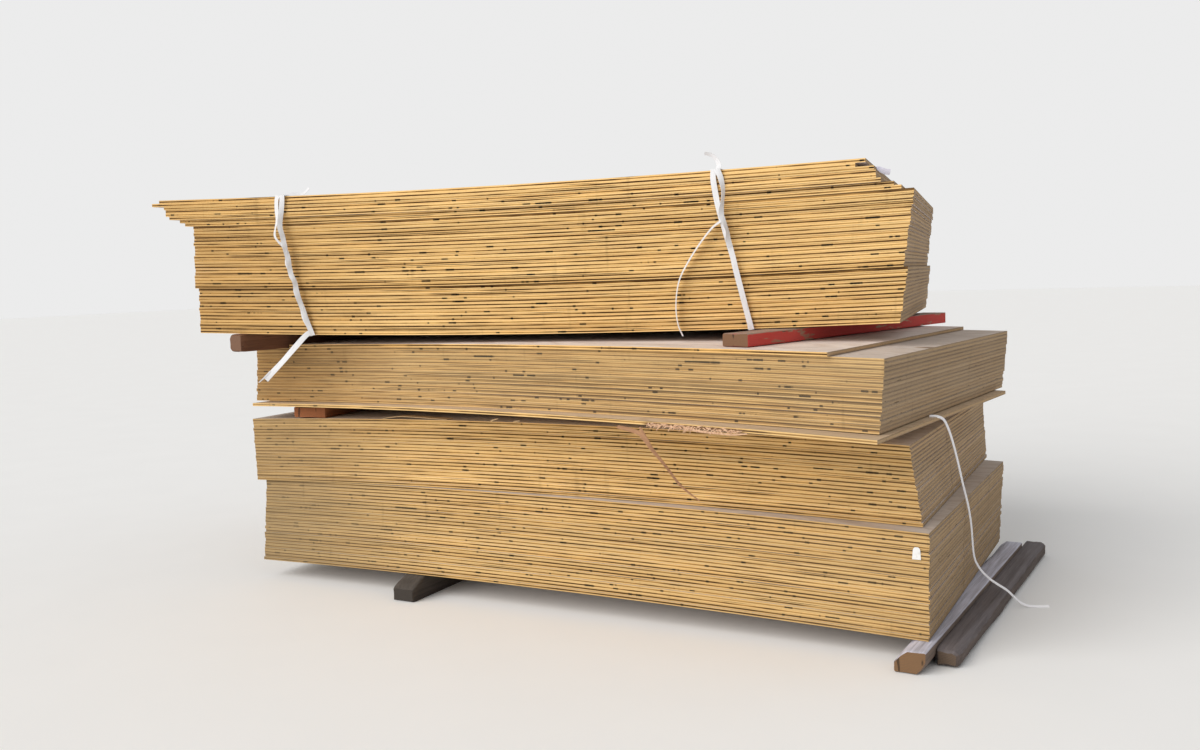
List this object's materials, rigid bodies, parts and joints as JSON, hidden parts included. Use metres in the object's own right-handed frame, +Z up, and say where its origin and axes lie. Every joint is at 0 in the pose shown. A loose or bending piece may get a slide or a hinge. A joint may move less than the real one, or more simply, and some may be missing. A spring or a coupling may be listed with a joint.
{
  "type": "stack of plywood sheets",
  "caption": "Three bundles of four by eight foot plywood sheets stacked on timber bearers, each turned a little from the one below, the top one held by plastic straps.",
  "frame": {"origin": "on the floor under the middle of the stack's outer box, without the loose strap", "axes": "+X along the lowest sheet's long edge, to the right as seen from the front; +Y to the back; +Z up"},
  "size_m": [3.0621, 1.6549, 1.4385],
  "materials": {
    "plywood": "raw sawn plywood, weathered a little",
    "weathered_timber": "grey weathered sawn timber",
    "reddish_timber": "reddish brown sawn timber",
    "painted_timber": "red painted side, bare worn top and end",
    "strap": "white woven plastic strap, slightly shiny",
    "tag": "plain white"
  },
  "bodies": {
    "root": {"bottom_lower_sheets": "plywood", "bottom_upper_sheets": "plywood", "lowered_sheet": "plywood", "middle_sheets": "plywood", "short_sheet": "plywood", "top_lower_sheets": "plywood", "top_main_sheets": "plywood", "shifted_sheets": "plywood", "left_ground_bearer": "weathered_timber", "right_ground_bearer": "weathered_timber", "spare_ground_timber": "weathered_timber", "left_lower_bearer": "reddish_timber", "right_lower_bearer": "reddish_timber", "left_upper_bearer": "reddish_timber", "right_upper_bearer": "painted_timber", "left_strap": "strap", "right_strap": "strap", "end_strap": "strap", "loose_strap": "strap", "white_tag": "tag"}
  },
  "joints": []
}
